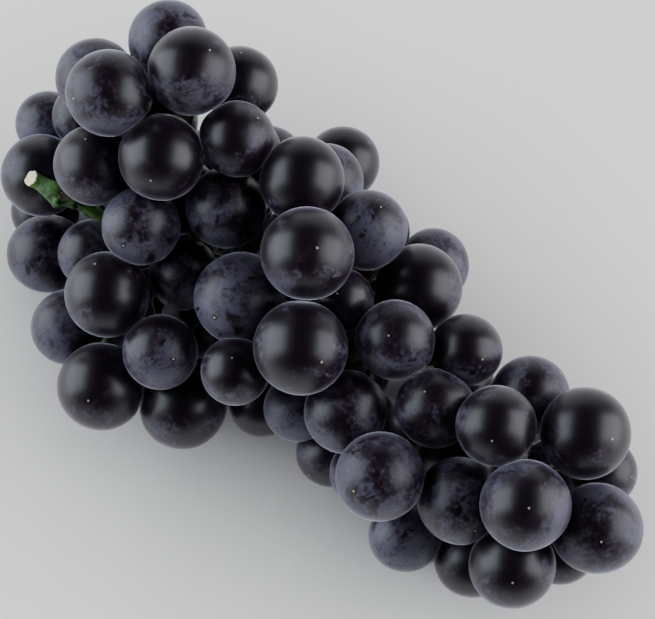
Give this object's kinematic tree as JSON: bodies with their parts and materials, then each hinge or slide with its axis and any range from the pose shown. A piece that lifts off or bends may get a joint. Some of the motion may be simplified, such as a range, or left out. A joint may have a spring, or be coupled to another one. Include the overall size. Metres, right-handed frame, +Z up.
{
  "type": "bunch of grapes",
  "caption": "Bunch of round dark purple grapes with pale bloom on a green cut stem, lying on its side, to dress a table, bowl or market stand.",
  "frame": {"origin": "on the table, under the middle of the bunch's box", "axes": "+Z up from the table; +X to the right and +Y away as the bunch is seen from the front, with its stem end at -X +Y and its tip at +X -Y"},
  "size_m": [0.1584, 0.1454, 0.0853],
  "materials": {
    "grape_skin": "near-black purple skin, satin, under an uneven pale blue-grey wax bloom that is rubbed off in places",
    "green_stem": "green rough-skinned stem, brown at the dry knuckle and pale tan at the cut end"
  },
  "bodies": {
    "root": {"stem": "green_stem", "berries_crown": "grape_skin", "berries_left": "grape_skin", "berries_middle": "grape_skin", "berries_right": "grape_skin", "berries_waist": "grape_skin", "berries_tip": "grape_skin"}
  },
  "joints": []
}
